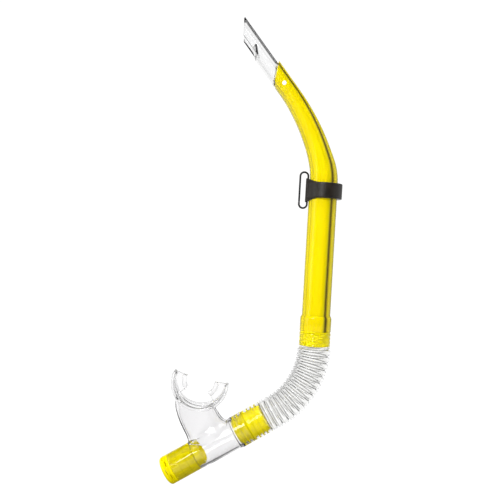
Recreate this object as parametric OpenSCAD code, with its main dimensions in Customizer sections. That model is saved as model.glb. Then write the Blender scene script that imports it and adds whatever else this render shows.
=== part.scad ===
/* [Barrel] */
// Outer diameter of the barrel's straight stretch
barrel_d = 25.5; // [22:0.5:30]
// Wall of the barrel
barrel_wall = 1.8; // [1.5:0.1:2.5]
// Height at which the bend begins, above the keeper's centre
straight_top = 8; // [8:1:20]
// Depth of the straight stretch below the keeper's centre
straight_depth = 112; // [80:1:140]
// Width of the flattened upper stretch, in the plane of the bend
top_width = 17; // [15:0.5:20]
// Radius of the first, tighter bend
bend1_r = 56.6; // [45:1:80]
// Angle of the first bend
bend1_angle = 17.3; // [10:0.5:22]
// Radius of the second, wider bend
bend2_r = 195; // [150:5:260]
// Angle of the second bend
bend2_angle = 21.5; // [15:0.5:26]
// Straight run from the second bend to the middle of the rim
top_run = 17.6; // [15:0.5:25]
// Slant of the rim against the square-cut end
rim_slant = 42.6; // [30:1:50]

/* [Socket] */
// Outer diameter of the socket at the barrel's foot
socket_d = 28; // [26:0.5:34]
// Height of the socket, with its cone
socket_h = 14; // [12:1:24]
// Wall of the socket
socket_wall = 2; // [1.5:0.1:2.5]
// Depth that the upper coupling goes in
socket_grip = 6; // [5:0.5:9]

/* [Splash guard] */
// Wall of the hood
guard_wall = 2.4; // [1.6:0.1:2.6]
// Wall of the sleeve inside the barrel
sleeve_wall = 1.4; // [1:0.1:2]
// Height of the hood's tip above the middle of the rim
hood_h = 57.8; // [45:1:65]
// Height of the hood's front corner
hood_corner_h = 40.6; // [36:1:44]
// Height at which the front lip starts to lean in
lip_low_h = 21.9; // [18:1:25]
// Height of the lip's edge
lip_top_h = 30.9; // [26:1:34]
// How far the lip leans in
lip_lean = 3.7; // [2:0.1:5]
// Width of the opening in the hood's front
mouth_w = 19; // [14:1:22]
// Diameter of the two snap bosses
snap_d = 3.8; // [3:0.1:5]
// Depth of the snap bosses below the middle of the rim
snap_depth = 12.6; // [9:0.5:16]

/* [Keeper] */
// Height of the rubber band
band_h = 14; // [10:0.5:18]
// Thickness of the rubber band
band_wall = 2.4; // [2:0.1:4]
// How much thicker the band is on the side away from the ring
band_pad = 1.9; // [0.5:0.1:2.5]
// Height of the band's fold, where the ring runs through
fold_h = 22; // [18:0.5:26]
// Outer height of the wire ring
ring_h = 34; // [30:0.5:40]
// Distance between the ring's two bars
ring_pitch = 7.15; // [7:0.05:12]
// Wire of the ring
wire_d = 1.7; // [1.5:0.1:2]

/* [Hose] */
// Radius of the hose's bend
hose_bend_r = 71; // [60:1:90]
// Angle of the hose's bend
hose_bend = 57.8; // [40:0.1:75]
// Largest diameter of the hose
hose_d = 29.5; // [28:0.5:34]
// Depth of a corrugation
corrugation_depth = 2; // [1:0.1:2.4]
// Number of corrugations
corrugations = 15; // [8:1:18]
// Wall of the hose
hose_wall = 1.3; // [1:0.1:1.6]
// Straight run between the bend and the lower coupling
hose_run = 9; // [4:1:14]
// Wall of the two cuffs
cuff_wall = 2; // [1.5:0.1:2.5]

/* [Couplings] */
// Bore of the upper coupling
upper_bore_d = 19.5; // [17:0.5:20]
// Length of the upper coupling's nipple
upper_nipple = 12.2; // [9:0.1:16]
// Diameter over the upper coupling's ribs
upper_rib_d = 24; // [23:0.1:24.5]
// Diameter over the lower coupling's ribs
lower_rib_d = 25; // [24:0.1:26]
// Bore of the lower coupling
lower_bore_d = 19.5; // [17:0.5:20.5]
// Length of the lower coupling's hose end
lower_hose_end = 16; // [12:0.5:20]
// Length of the lower coupling's mouthpiece end
lower_sleeve_end = 12.1; // [9:0.1:16]
// Thickness of both couplings' collars
collar_h = 1; // [0.8:0.1:1.5]
// Height of a rib
rib_depth = 0.6; // [0.4:0.1:0.8]

/* [Mouthpiece] */
// Outer diameter of the sleeve over the purge body
sleeve_d = 26.2; // [25:0.1:30]
// Outer diameter of the sleeve's middle
chamber_d = 27.2; // [26:0.1:31]
// Wall of the sleeve
chamber_wall = 2; // [1.6:0.1:2.2]
// Length of the sleeve
sleeve_len = 76.7; // [70:0.1:86]
// Where the neck stands on the sleeve, from the collar
neck_place = 32; // [30:0.5:36]
// Width of the neck, along the sleeve
neck_w = 34; // [28:1:36]
// Width of the neck, across the sleeve
neck_t = 22; // [18:1:24]
// Height of the neck above the sleeve's axis
neck_h = 41.3; // [38:0.1:48]
// Turn of the lip shield against the sleeve
shield_turn = 43.4; // [30:0.1:50]
// Outer radius of the lip shield's curve
shield_r = 25.6; // [23:0.1:28]
// Thickness of the lip shield
shield_wall = 2.4; // [2:0.1:3]
// Height of the lip shield
shield_h = 30; // [26:1:36]
// Inner radius of the bite tabs
tab_r = 12.5; // [11:0.1:14]
// Thickness of the bite tabs
tab_t = 3.6; // [2.8:0.1:4.5]
// Height of the ridges on the bite tabs
tab_ridge = 10; // [7:0.5:12]

/* [Purge valve] */
// Length of the purge body inside the sleeve
purge_len = 29.1; // [24:0.1:34]
// Wall of the purge body
purge_wall = 1.8; // [1.4:0.1:2.2]
// Diameter of the hole under the flap
seat_d = 16.8; // [14:0.1:17.4]
// Diameter of the flap
flap_d = 19.6; // [18.5:0.1:20.4]
// Thickness of the flap
flap_t = 1; // [0.6:0.1:1.4]
// How far the flap lifts
flap_lift = 1.5; // [1:0.1:2]
// Thickness of the flange between the sleeve and the cap
flange_h = 1.7; // [1.4:0.1:2.2]
// Height of the cap
cap_h = 7.4; // [7:0.1:10]
// Wall of the cap
cap_wall = 1.8; // [1.4:0.1:2.4]

/* [Fits] */
// Clearance of the pieces that turn or slide, on the radius
run_gap = 0.08; // [0.05:0.01:0.1]
// Clearance of the pieces that are pushed together
push_gap = 0.03; // [0:0.01:0.05]
// Clearance of the flap from its seat
flap_gap = 0.1; // [0.05:0.01:0.3]

/* [Hidden] */
$fn = 64;
eps = 0.02;
sides = 36;
yellow = [1, 0.9, 0.05, 0.85];
clear = [0.85, 0.9, 0.92, 0.4];
black = [0.08, 0.08, 0.08];

// The barrel's centre line: its length, and its turn against the vertical at a distance along it
barrel_r = barrel_d / 2;
bend1_len = bend1_r * bend1_angle * PI / 180;
bend2_len = bend2_r * bend2_angle * PI / 180;
rim_at = bend1_len + bend2_len + top_run;
flat_at = bend1_len + bend2_len;
top_turn = bend1_angle + bend2_angle;
function turn_at(s) =
    s < bend1_len ? bend1_angle * max(s, 0) / bend1_len
    : s < flat_at ? bend1_angle + bend2_angle * (s - bend1_len) / bend2_len
    : top_turn;
// An arc of a centre line that begins at p with turn a and goes on for s at radius r
function arc_end(p, a, r, s) =
    let (b = a + s / r * 180 / PI)
    [p[0] - r * (cos(a) - cos(b)), p[1] + r * (sin(b) - sin(a))];
bend1_end = arc_end([0, straight_top], 0, bend1_r, bend1_len);
bend2_end = arc_end(bend1_end, bend1_angle, bend2_r, bend2_len);
function centre_at(s) =
    s < 0 ? [0, straight_top + s]
    : s < bend1_len ? arc_end([0, straight_top], 0, bend1_r, s)
    : s < flat_at ? arc_end(bend1_end, bend1_angle, bend2_r, s - bend1_len)
    : bend2_end + (s - flat_at) * [-sin(top_turn), cos(top_turn)];
// The barrel narrows in the plane of the bend and widens across it, at about the same girth
function half_width(s) =
    lookup(s / flat_at, [[0, barrel_r], [0.13, barrel_r * 0.95], [0.32, barrel_r * 0.62 + top_width * 0.17],
                         [0.65, barrel_r * 0.25 + top_width * 0.375], [0.95, top_width / 2]]);
function half_depth(s) = sqrt(2 * barrel_r * barrel_r - pow(half_width(s), 2));
rim = centre_at(rim_at);
top_a = half_width(rim_at);
top_b = half_depth(rim_at);
sweep_steps = concat([-3, 0.6], [for (i = [1:4]) bend1_len * i / 4],
                     [for (i = [1:10]) bend1_len + bend2_len * i / 10],
                     [flat_at + top_run, rim_at + top_width]);

// Levels of the barrel's foot
socket_top = -straight_depth;
foot = socket_top - socket_h;
grip_top = foot + socket_grip;
cone_h = 2;
socket_edge = 0.3;
nipple_top = foot - collar_h;
nipple_foot = nipple_top - upper_nipple;
hose_top = nipple_foot - 1.5;

// The line that the lower coupling, the sleeve and the purge valve share
hose_centre = [-hose_bend_r, hose_top];
bend_foot = hose_centre + hose_bend_r * [cos(hose_bend), -sin(hose_bend)];
line_dir = [-sin(hose_bend), -cos(hose_bend)];
line_start = bend_foot + hose_run * line_dir;
collar_at = lower_hose_end;
sleeve_at = collar_at + collar_h;
purge_at = sleeve_at + sleeve_len;
hose_r = hose_d / 2;

// The splash guard's ovals, in the frame of the rim
guard_a = top_a - 1.1;
guard_b = top_b - 0.9;
guard_shift = -0.9;
sleeve_a = top_a - barrel_wall - push_gap;
sleeve_b = top_b - barrel_wall - push_gap;
sleeve_depth = top_run - 0.6;

// The keeper
band_r = barrel_r + run_gap;
bar_x = -(barrel_r + 0.45 + wire_d / 2);
bar_hole_r = wire_d / 2 + run_gap;
fold_x = bar_x - bar_hole_r - 0.95;

// The mouthpiece's lip shield stands on the end of the neck
neck_at = sleeve_at + neck_place;
sleeve_r = sleeve_d / 2;
grip_r = lower_rib_d / 2 + run_gap;
chamber_r = chamber_d / 2 - chamber_wall;
purge_r = sleeve_r - chamber_wall + 0.1;
shield_drop = 21;

module at_rim() translate([rim[0], 0, rim[1]]) rotate([0, -top_turn, 0]) children();
module on_line(s = 0)
    translate([line_start[0] + s * line_dir[0], 0, line_start[1] + s * line_dir[1]])
        rotate([0, 180 + hose_bend, 0]) children();
// The shield's own frame: its origin is the centre of its curve, and the mouth is on its +Z side
module at_shield()
    on_line(neck_at) translate([neck_h, 0, 0]) rotate([0, 90 + shield_turn, 0])
        translate([0, 0, shield_drop]) children();

// A tube, turned about Z, of a list of [radius, height] points
module turned(points) rotate_extrude($fn = 72) polygon(points);

// An oval prism
module oval(a, b, low, high)
    translate([0, 0, low]) linear_extrude(high - low)
        polygon([for (i = [0:sides - 1]) [a * cos(i * 360 / sides), b * sin(i * 360 / sides)]]);

// A closed skin through rings of equally many points
module skin(rings) {
    n = len(rings[0]);
    m = len(rings);
    polyhedron(
        [for (ring = rings) for (p = ring) p],
        concat([for (i = [1:n - 2]) [0, i, i + 1]],
               [for (j = [0:m - 2]) for (i = [0:n - 1])
                   let (a = j * n + i, b = j * n + (i + 1) % n)
                   for (f = [[a, a + n, b + n], [a, b + n, b]]) f],
               [for (i = [1:n - 2]) [(m - 1) * n, (m - 1) * n + i + 1, (m - 1) * n + i]]),
        convexity = 8);
}

// A ring of points round a centre line that lies in the XZ plane, turned by a against the vertical
function ring_points(c, a, rx, ry, n) =
    [for (i = [0:n - 1]) let (t = i * 360 / n, x = rx * cos(t))
        [c[0] + x * cos(a), ry * sin(t), c[1] + x * sin(a)]];

module barrel_sweep(inset)
    skin([for (s = sweep_steps)
        ring_points(centre_at(s), turn_at(s), half_width(s) - inset, half_depth(s) - inset, sides)]);

module barrel() color(yellow) difference() {
    union() {
        translate([0, 0, grip_top + push_gap]) cylinder(h = straight_top - grip_top - push_gap, r = barrel_r);
        barrel_sweep(eps);
    }
    translate([0, 0, grip_top - 1]) cylinder(h = straight_top - grip_top + 1.3, r = barrel_r - barrel_wall);
    barrel_sweep(barrel_wall + eps);
    at_rim() rotate([0, -rim_slant, 0]) translate([-40, -40, 0]) cube([80, 80, 60]);
    at_rim() translate([-1.3, 0, -snap_depth]) rotate([90, 0, 0])
        cylinder(h = 4 * top_b, r = snap_d / 2 + push_gap, center = true);
}

// The collar that is glued over the barrel's foot and takes the upper coupling
module barrel_socket() color(yellow) difference() {
    turned([[0, foot], [socket_d / 2, foot], [socket_d / 2, socket_top - cone_h],
            [barrel_r + socket_edge, socket_top], [0, socket_top]]);
    translate([0, 0, foot - 1]) cylinder(h = socket_h + 2, r = socket_d / 2 - socket_wall);
    translate([0, 0, grip_top]) cylinder(h = socket_h, r = barrel_r + push_gap);
}

// The lip that the hood's opening looks over
module lip()
    rotate([90, 0, 0]) linear_extrude(mouth_w - 0.4, center = true)
        polygon([[guard_shift - guard_a, lip_low_h - 6], [guard_shift - guard_a, lip_low_h],
                 [guard_shift - guard_a + lip_lean, lip_top_h],
                 [guard_shift - guard_a + lip_lean + 1.6, lip_top_h - 0.7],
                 [guard_shift - guard_a + guard_wall, lip_low_h], [guard_shift - guard_a + guard_wall, lip_low_h - 6]]);

module hood() difference() {
    translate([guard_shift, 0, 0]) oval(guard_a, guard_b, -top_width, hood_h + 5);
    // The part below the slanted rim
    rotate([0, -rim_slant, 0]) translate([-40, -40, -60 + push_gap]) cube([80, 80, 60]);
    // The open front above the corner
    translate([-guard_a + guard_shift, 0, hood_corner_h])
        rotate([0, -atan2(hood_h - hood_corner_h, 2 * guard_a), 0]) translate([-20, -40, 0]) cube([80, 80, 60]);
    // The opening in the front wall
    translate([guard_shift - 2 * guard_a, -mouth_w / 2, lip_low_h]) cube([2 * guard_a, mouth_w, 60]);
}

module splash_guard() color(clear) at_rim() {
    difference() {
        union() {
            hood();
            difference() {
                oval(sleeve_a, sleeve_b, -sleeve_depth, 8);
                rotate([0, -rim_slant, 0]) translate([-40, -40, 1]) cube([80, 80, 60]);
            }
            translate([-1.3, 0, -snap_depth]) rotate([90, 0, 0])
                cylinder(h = 2 * top_b + 0.6, r = snap_d / 2, center = true);
        }
        oval(sleeve_a - sleeve_wall, sleeve_b - sleeve_wall, -sleeve_depth - 1, -top_width / 2);
        translate([guard_shift / 2, 0, 0])
            oval(sleeve_a - sleeve_wall - 0.5, sleeve_b - sleeve_wall, -top_width / 2 - eps, hood_h + 6);
        intersection() {
            translate([guard_shift, 0, 0]) oval(guard_a - guard_wall, guard_b - guard_wall, -8, hood_h + 6);
            rotate([0, -rim_slant, 0]) translate([-40, -40, 2]) cube([80, 80, 80]);
        }
    }
    lip();
}

module keeper_band() color(black) difference() {
    union() {
        translate([band_pad / 2, 0, -band_h / 2]) cylinder(h = band_h, r = barrel_r + band_wall + band_pad / 2);
        // The fold round the ring's bar, taller than the band
        intersection() {
            translate([0, 0, -fold_h / 2]) linear_extrude(fold_h)
                polygon([[fold_x, -1.6], [fold_x + 0.6, -2.1], [-barrel_r * 0.55, -barrel_r * 0.835 - band_wall],
                         [-barrel_r * 0.55, barrel_r * 0.835 + band_wall], [fold_x + 0.6, 2.1], [fold_x, 1.6]]);
            rotate([90, 0, 0]) linear_extrude(4 * barrel_r, center = true)
                polygon([[fold_x, -fold_h / 2], [fold_x + 1.5, -fold_h / 2], [-barrel_r * 0.55, -band_h / 2],
                         [-barrel_r * 0.55, band_h / 2], [fold_x + 1.5, fold_h / 2], [fold_x, fold_h / 2]]);
        }
    }
    cylinder(h = 2 * fold_h, r = band_r, center = true);
    translate([bar_x, 0, 0]) cylinder(h = 2 * fold_h, r = bar_hole_r, center = true, $fn = 32);
}

module keeper_ring() color(black) translate([bar_x - ring_pitch / 2, 0, 0]) {
    turn_z = (ring_h - wire_d - ring_pitch) / 2;
    for (side = [-1, 1]) {
        translate([side * ring_pitch / 2, 0, 0]) cylinder(h = 2 * turn_z, r = wire_d / 2, center = true, $fn = 32);
        translate([0, 0, side * turn_z]) rotate([90, 0, 0]) rotate([0, 0, side > 0 ? 0 : 180])
            rotate_extrude(angle = 180, $fn = 48) translate([ring_pitch / 2, 0]) circle(d = wire_d, $fn = 32);
    }
}

// Outline of a ribbed nipple: ribs slope towards the end and drop square at their back
function ribs(r, from, to, count, depth) =
    let (pitch = (to - from) / count)
    [for (i = [0:count - 1]) for (p = [[r, from + i * pitch], [r - depth, from + (i + 1) * pitch]]) p];

module upper_coupling() color(yellow)
    turned(concat(
        [[upper_bore_d / 2, nipple_foot], [upper_bore_d / 2, grip_top], [socket_d / 2 - socket_wall - push_gap, grip_top],
         [socket_d / 2 - socket_wall - push_gap, foot], [socket_d / 2 - 0.4, foot], [socket_d / 2 - 0.4, nipple_top]],
        ribs(upper_rib_d / 2, nipple_top, nipple_foot, 4, rib_depth)));

// The hose: two cuffs and a bellows between them
bellows_len = hose_bend_r * hose_bend * PI / 180 + hose_run;
function hose_point(s) =
    let (a = s / hose_bend_r * 180 / PI)
    a < hose_bend ? hose_centre + hose_bend_r * [cos(a), -sin(a)]
    : bend_foot + (s - hose_bend_r * hose_bend * PI / 180) * line_dir;
function hose_turn(s) = min(s / hose_bend_r * 180 / PI, hose_bend);
pitch = (bellows_len - 2) / corrugations;
bellows = concat([[-1, hose_r - corrugation_depth]],
                 [for (i = [0:corrugations - 1]) for (p = [[0, 1], [0.25, 0], [0.75, 0]])
                     [1 + (i + p[0]) * pitch, hose_r - p[1] * corrugation_depth]],
                 [[bellows_len - 1, hose_r - corrugation_depth], [bellows_len + 1, hose_r - corrugation_depth]]);
module bellows_skin(inset)
    skin([for (i = [len(bellows) - 1:-1:0]) let (p = bellows[i])
        ring_points(hose_point(p[0]), -hose_turn(p[0]), p[1] - inset, p[1] - inset, 24)]);

module cuff(inner_r, len)
    difference() {
        cylinder(h = len, r = inner_r + cuff_wall);
        translate([0, 0, -1]) cylinder(h = len + 2, r = inner_r);
    }

module flex_hose() color(clear) {
    difference() {
        bellows_skin(0);
        bellows_skin(hose_wall);
        translate([0, 0, hose_top]) cylinder(h = 10, r = 2 * hose_r);
        on_line(0) cylinder(h = 10, r = 2 * hose_r);
    }
    translate([0, 0, hose_top]) cuff(upper_rib_d / 2 + push_gap, nipple_top - hose_top);
    on_line(0) cuff(lower_rib_d / 2 + push_gap, collar_at);
}

module lower_coupling() color(yellow) on_line(0)
    turned(concat(
        [[lower_bore_d / 2, 0.6], [lower_bore_d / 2, sleeve_at + lower_sleeve_end]],
        [for (i = [0:1]) for (p = [[lower_rib_d / 2 - rib_depth, sleeve_at + lower_sleeve_end * (2 - i) / 2],
                                   [lower_rib_d / 2, sleeve_at + lower_sleeve_end * (1 - i) / 2]]) p],
        [[lower_rib_d / 2 + cuff_wall - 0.3, sleeve_at - run_gap], [lower_rib_d / 2 + cuff_wall - 0.3, collar_at]],
        ribs(lower_rib_d / 2, collar_at, 0.6, 3, rib_depth)));

// The neck's rings go from the sleeve to the shield and turn as they go
neck_foot = [line_start[0] + neck_at * line_dir[0], line_start[1] + neck_at * line_dir[1]];
neck_dir = [-cos(hose_bend), sin(hose_bend)];
neck_steps = [0.22, 0.4, 0.55, 0.7, 0.85, 1, 1.12];
module neck(inset)
    skin([for (t = neck_steps)
        let (a = 90 - hose_bend - shield_turn * pow(max(t - 0.22, 0) / 0.78, 1.5) - eps)
        ring_points(neck_foot + t * neck_h * neck_dir, a, neck_w / 2 - inset, neck_t / 2 - inset, 32)]);

// A band that is bent round the Y axis, centred on -Z, for half of the given angle each way
module bent(from_angle, to_angle)
    rotate([90, 0, 0]) rotate([0, 0, -90 + from_angle])
        rotate_extrude(angle = to_angle - from_angle, $fn = 96) children();

module shield() bent(-98, 98) {
    translate([shield_r - shield_wall, -shield_h / 2 + 3]) square([shield_wall, shield_h - 6]);
    for (side = [-1, 1]) translate([shield_r - shield_wall, side * (shield_h / 2 - 3)]) intersection() {
        circle(r = 3);
        translate([0, -3]) square([shield_wall, 6]);
    }
}

module tab()
    difference() {
        bent(45.6, 99) {
            translate([tab_r + 1.5, -tab_t / 2]) square([shield_r - shield_wall - tab_r - 1, tab_t]);
            translate([tab_r, -tab_ridge / 2]) square([3, tab_ridge]);
        }
    }

module mouthpiece() color(clear) difference() {
    union() {
        on_line(sleeve_at) turned([
            [0, 0], [grip_r + cuff_wall, 0], [grip_r + cuff_wall, lower_sleeve_end], [chamber_d / 2, lower_sleeve_end + 3],
            [chamber_d / 2, sleeve_len - purge_len - 3], [sleeve_r, sleeve_len - purge_len + 1], [sleeve_r, sleeve_len],
            [0, sleeve_len]]);
        difference() {
            neck(0);
            at_shield() rotate([90, 0, 0]) cylinder(h = 80, r = shield_r - shield_wall / 2, center = true);
        }
        at_shield() {
            shield();
            tab();
            mirror([1, 0, 0]) tab();
        }
    }
    on_line(sleeve_at) turned([
        [0, -1], [grip_r, -1], [grip_r, lower_sleeve_end + 0.4], [chamber_r, lower_sleeve_end + 1],
        [chamber_r, sleeve_len - purge_len - 4], [purge_r, sleeve_len - purge_len - 1], [purge_r, sleeve_len + 1],
        [0, sleeve_len + 1]]);
    difference() {
        neck(chamber_wall);
        at_shield() rotate([90, 0, 0]) cylinder(h = 80, r = shield_r - shield_wall - 1, center = true);
    }
}

module purge_body() color(yellow) on_line(purge_at) {
    body_r = purge_r - push_gap;
    difference() {
        turned(concat(
            [[0, -purge_len], [body_r - 0.8, -purge_len], [body_r - 0.8, -purge_len + 6], [body_r, -purge_len + 7],
             [body_r, 0], [sleeve_r, 0], [sleeve_r, flange_h], [0, flange_h]]));
        translate([0, 0, -purge_len - 1]) cylinder(h = purge_len + flange_h - 1, r = body_r - purge_wall);
        translate([0, 0, -2]) cylinder(h = flange_h + 4, r = seat_d / 2);
    }
    // The spider that carries the flap's stem
    difference() {
        union() {
            translate([0, 0, flange_h - 2.4]) cylinder(h = 2, r = 3.2);
            for (i = [0:1]) rotate([0, 0, 45 + i * 90])
                translate([-seat_d / 2 - 0.5, -0.7, flange_h - 2.4]) cube([seat_d + 1, 1.4, 2]);
        }
        translate([0, 0, -4]) cylinder(h = 8, r = 1.3 + run_gap);
    }
}

module purge_flap() color(clear) on_line(purge_at + flange_h + flap_gap) {
    hub_h = 2.4;
    turned([[0, flap_t + 0.4], [3, flap_t + 0.4], [flap_d / 2 - 1, flap_t * 0.7], [flap_d / 2, 0.35], [flap_d / 2, 0],
            [1.3, 0], [1.3, -hub_h - flap_gap - flap_lift], [2.1, -hub_h - flap_gap - flap_lift - 0.3],
            [1.1, -hub_h - flap_gap - flap_lift - 2.4], [0, -hub_h - flap_gap - flap_lift - 2.4]]);
}

module purge_cap() color(yellow) on_line(purge_at + flange_h) difference() {
    turned([[0, cap_h], [sleeve_r - 4.2, cap_h], [sleeve_r - 2, cap_h - 0.8], [sleeve_r - 0.4, cap_h - 2.8],
            [sleeve_r, cap_h - 4.2], [sleeve_r, 0], [sleeve_r - cap_wall, 0], [sleeve_r - cap_wall, cap_h - 3.4],
            [sleeve_r - 5, cap_h - cap_wall], [0, cap_h - cap_wall]]);
    // Two rows of outlet slots
    for (row = [0:1]) for (i = [0:5])
        translate([0, 0, 1.2 + row * 2]) rotate([0, 0, i * 60 + row * 30 + 8])
            rotate_extrude(angle = 44, $fn = 72) translate([sleeve_r - cap_wall - 1.4, 0]) square([cap_wall + 3, 1]);
}

barrel();
barrel_socket();
splash_guard();
keeper_band();
keeper_ring();
upper_coupling();
flex_hose();
lower_coupling();
mouthpiece();
purge_body();
purge_flap();
purge_cap();
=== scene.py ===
"""Looks of a snorkel tube: each piece is rebuilt in fine detail round its CAD node, and every piece but the
hose rides on its CAD body.

Sizes are millimetres, in the frame of the CAD model, and become metres when a mesh is made.
"""

from __future__ import annotations

import logging
import math
from dataclasses import dataclass, replace
from enum import Enum

import bmesh
import bpy
import numpy as np
from bpy.types import ID, Material, Mesh, Node, NodeSocket, NodeTree, Object
from mathutils import Matrix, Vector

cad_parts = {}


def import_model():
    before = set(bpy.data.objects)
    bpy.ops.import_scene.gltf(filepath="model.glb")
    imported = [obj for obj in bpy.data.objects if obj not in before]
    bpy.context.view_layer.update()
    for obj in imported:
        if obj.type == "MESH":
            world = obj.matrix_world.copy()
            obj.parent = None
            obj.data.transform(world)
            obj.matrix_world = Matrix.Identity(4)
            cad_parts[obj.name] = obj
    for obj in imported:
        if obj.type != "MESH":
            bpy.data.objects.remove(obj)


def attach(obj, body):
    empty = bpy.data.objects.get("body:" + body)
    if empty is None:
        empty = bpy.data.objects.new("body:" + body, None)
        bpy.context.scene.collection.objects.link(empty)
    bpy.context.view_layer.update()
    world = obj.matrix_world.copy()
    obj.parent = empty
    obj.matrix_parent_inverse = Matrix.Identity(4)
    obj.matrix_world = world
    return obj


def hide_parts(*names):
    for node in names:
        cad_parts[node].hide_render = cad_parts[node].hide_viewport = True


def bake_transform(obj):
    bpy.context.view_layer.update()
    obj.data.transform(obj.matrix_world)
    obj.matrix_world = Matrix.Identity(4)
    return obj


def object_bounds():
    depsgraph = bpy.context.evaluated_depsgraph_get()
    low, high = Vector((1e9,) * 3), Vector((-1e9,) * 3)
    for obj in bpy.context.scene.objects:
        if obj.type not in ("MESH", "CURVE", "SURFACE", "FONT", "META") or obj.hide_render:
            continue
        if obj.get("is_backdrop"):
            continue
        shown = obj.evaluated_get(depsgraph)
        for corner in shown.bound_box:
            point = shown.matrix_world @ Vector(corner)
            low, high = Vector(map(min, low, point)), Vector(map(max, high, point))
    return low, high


LOG = logging.getLogger("snorkel")
MM = 0.001
AROUND = "around"
FOLD = "fold"
RING = "ring"
SHARP = 35.0
SOFT_SHARP = 50.0
FUSED_SHARP = 60.0
WELD = 1e-7
CLOUD_OCTAVES = 3.0
CLOUD_RANGE = (0.35, 0.75)
GRAIN_OCTAVES = 2.0
BUMP_HEIGHT = 0.0004
CUT_HALF = 30.0
COAT_ROUGHNESS = 0.04
WHITE = (1.0, 1.0, 1.0, 1.0)

Triple = tuple[float, float, float]
Term = NodeSocket | float | tuple[float, ...]
Span = tuple[Term, Term]


# ---------------------------------------------------------------- shapes


@dataclass
class Shape:
    """A mesh in the making, in millimetres.

    Attributes:
        points: One row per point.
        faces: Each face as a list of point numbers.
    """

    points: np.ndarray
    faces: list[list[int]]

    def joined(self, other: "Shape") -> "Shape":
        """Both shapes as one, not welded.

        Args:
            other: The shape to add.

        Returns:
            A new shape that holds the two.
        """
        shift = len(self.points)
        moved = [[i + shift for i in face] for face in other.faces]
        return Shape(np.vstack([self.points, other.points]), self.faces + moved)


def grid(rings: np.ndarray, wrap: bool) -> Shape:
    """A closed skin over rings of points.

    Args:
        rings: Array of rows, columns and x, y, z, each row a closed ring.
        wrap: True joins the last ring to the first, and False closes both ends with a flat face.

    Returns:
        The skin, with quads between neighbouring rings.
    """
    rows, columns = rings.shape[:2]
    row, column = np.meshgrid(np.arange(rows if wrap else rows - 1), np.arange(columns), indexing="ij")
    above = (row + 1) % rows
    beside = (column + 1) % columns
    here = row * columns
    there = above * columns
    quads = np.stack([here + column, here + beside, there + beside, there + column], -1)
    faces = quads.reshape(-1, 4).tolist()
    if not wrap:
        faces.append(list(range(columns)))
        faces.append(list(range((rows - 1) * columns, rows * columns)))
    return Shape(rings.reshape(-1, 3), faces)


def rounded(outline: list[tuple[float, float]], radius: float, steps: int = 4) -> np.ndarray:
    """A closed outline with its corners rounded.

    Each corner becomes a quadratic curve that starts and ends on the two edges, at the radius or at 0.45 of
    the edge's length, whichever is less.

    Args:
        outline: The corners in order.
        radius: How far from the corner the curve starts.
        steps: Number of pieces in each curve.

    Returns:
        The rounded outline, one row per point.
    """
    corner = np.array(outline, float)
    before = np.roll(corner, 1, 0) - corner
    after = np.roll(corner, -1, 0) - corner
    far_before = np.linalg.norm(before, axis=1, keepdims=True)
    far_after = np.linalg.norm(after, axis=1, keepdims=True)
    start = corner + before / far_before * np.minimum(radius, 0.45 * far_before)
    end = corner + after / far_after * np.minimum(radius, 0.45 * far_after)
    t = np.linspace(0, 1, steps + 1)[None, :, None]
    curve = (1 - t) ** 2 * start[:, None] + 2 * t * (1 - t) * corner[:, None] + t**2 * end[:, None]
    return curve.reshape(-1, 2)


def circle(sides: int) -> np.ndarray:
    """Angles of that many sides round a circle."""
    return np.linspace(0, 2 * math.pi, sides, endpoint=False)


def spun(outline: np.ndarray, sides: int) -> np.ndarray:
    """Rings of points round Z.

    Args:
        outline: Radius and height of each ring.
        sides: Number of columns.

    Returns:
        The rings, for grid.
    """
    turn = circle(sides)
    radius = outline[:, 0, None]
    height = np.broadcast_to(outline[:, 1, None], (len(outline), sides))
    return np.stack([radius * np.cos(turn), radius * np.sin(turn), height], -1)


def lathe(outline: np.ndarray, sides: int = 96) -> Shape:
    """A closed ring about Z, from a closed outline of radius and height that is clear of the axis."""
    return grid(spun(outline, sides), True)


def spindle(outline: np.ndarray, sides: int = 72) -> Shape:
    """A solid about Z, from an open outline of radius and height, with a flat face at each end."""
    return grid(spun(outline, sides), False)


def rod(radius: float, half: float, sides: int) -> Shape:
    """A straight round rod along Z, for cutting."""
    return spindle(np.array([[radius, -half], [radius, half]]), sides)


def block(low: Triple, high: Triple) -> Shape:
    """A cutting block between two corners.

    Args:
        low: Lowest corner.
        high: Highest corner.

    Returns:
        The block.
    """
    corners = np.array([[low[0], low[1]], [high[0], low[1]], [high[0], high[1]], [low[0], high[1]]])
    rings = np.stack([np.c_[corners, np.full(4, z)] for z in (low[2], high[2])])
    return grid(rings, False)


@dataclass(frozen=True)
class Place:
    """A frame in the snorkel's plane, turned about Y.

    Attributes:
        x: Its origin along X.
        z: Its origin along Z.
        turn: Angle in degrees from Z towards X of its own Z axis.
    """

    x: float = 0.0
    z: float = 0.0
    turn: float = 0.0

    def axes(self) -> np.ndarray:
        """Its X, Y and Z axes, one row each."""
        a = math.radians(self.turn)
        return np.array([[math.cos(a), 0, -math.sin(a)], [0, 1, 0], [math.sin(a), 0, math.cos(a)]])

    def put(self, points: np.ndarray) -> np.ndarray:
        """Points given in this frame, in the frame of the snorkel."""
        return points @ self.axes() + np.array([self.x, 0, self.z])

    def shape(self, shape: Shape) -> Shape:
        """A shape given in this frame, in the frame of the snorkel."""
        return Shape(self.put(shape.points), shape.faces)

    def along(self, x: float, z: float) -> "Place":
        """The same frame, moved along its own axes."""
        moved = self.put(np.array([[x, 0.0, z]]))[0]
        return Place(float(moved[0]), float(moved[2]), self.turn)

    def turned(self, angle: float) -> "Place":
        """The same origin, with the axes turned further."""
        return Place(self.x, self.z, self.turn + angle)


def show(name: str, data: ID) -> Object:
    """Puts a mesh, a lamp or a camera into the scene as an object."""
    thing = bpy.data.objects.new(name, data)
    bpy.context.scene.collection.objects.link(thing)
    return thing


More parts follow.
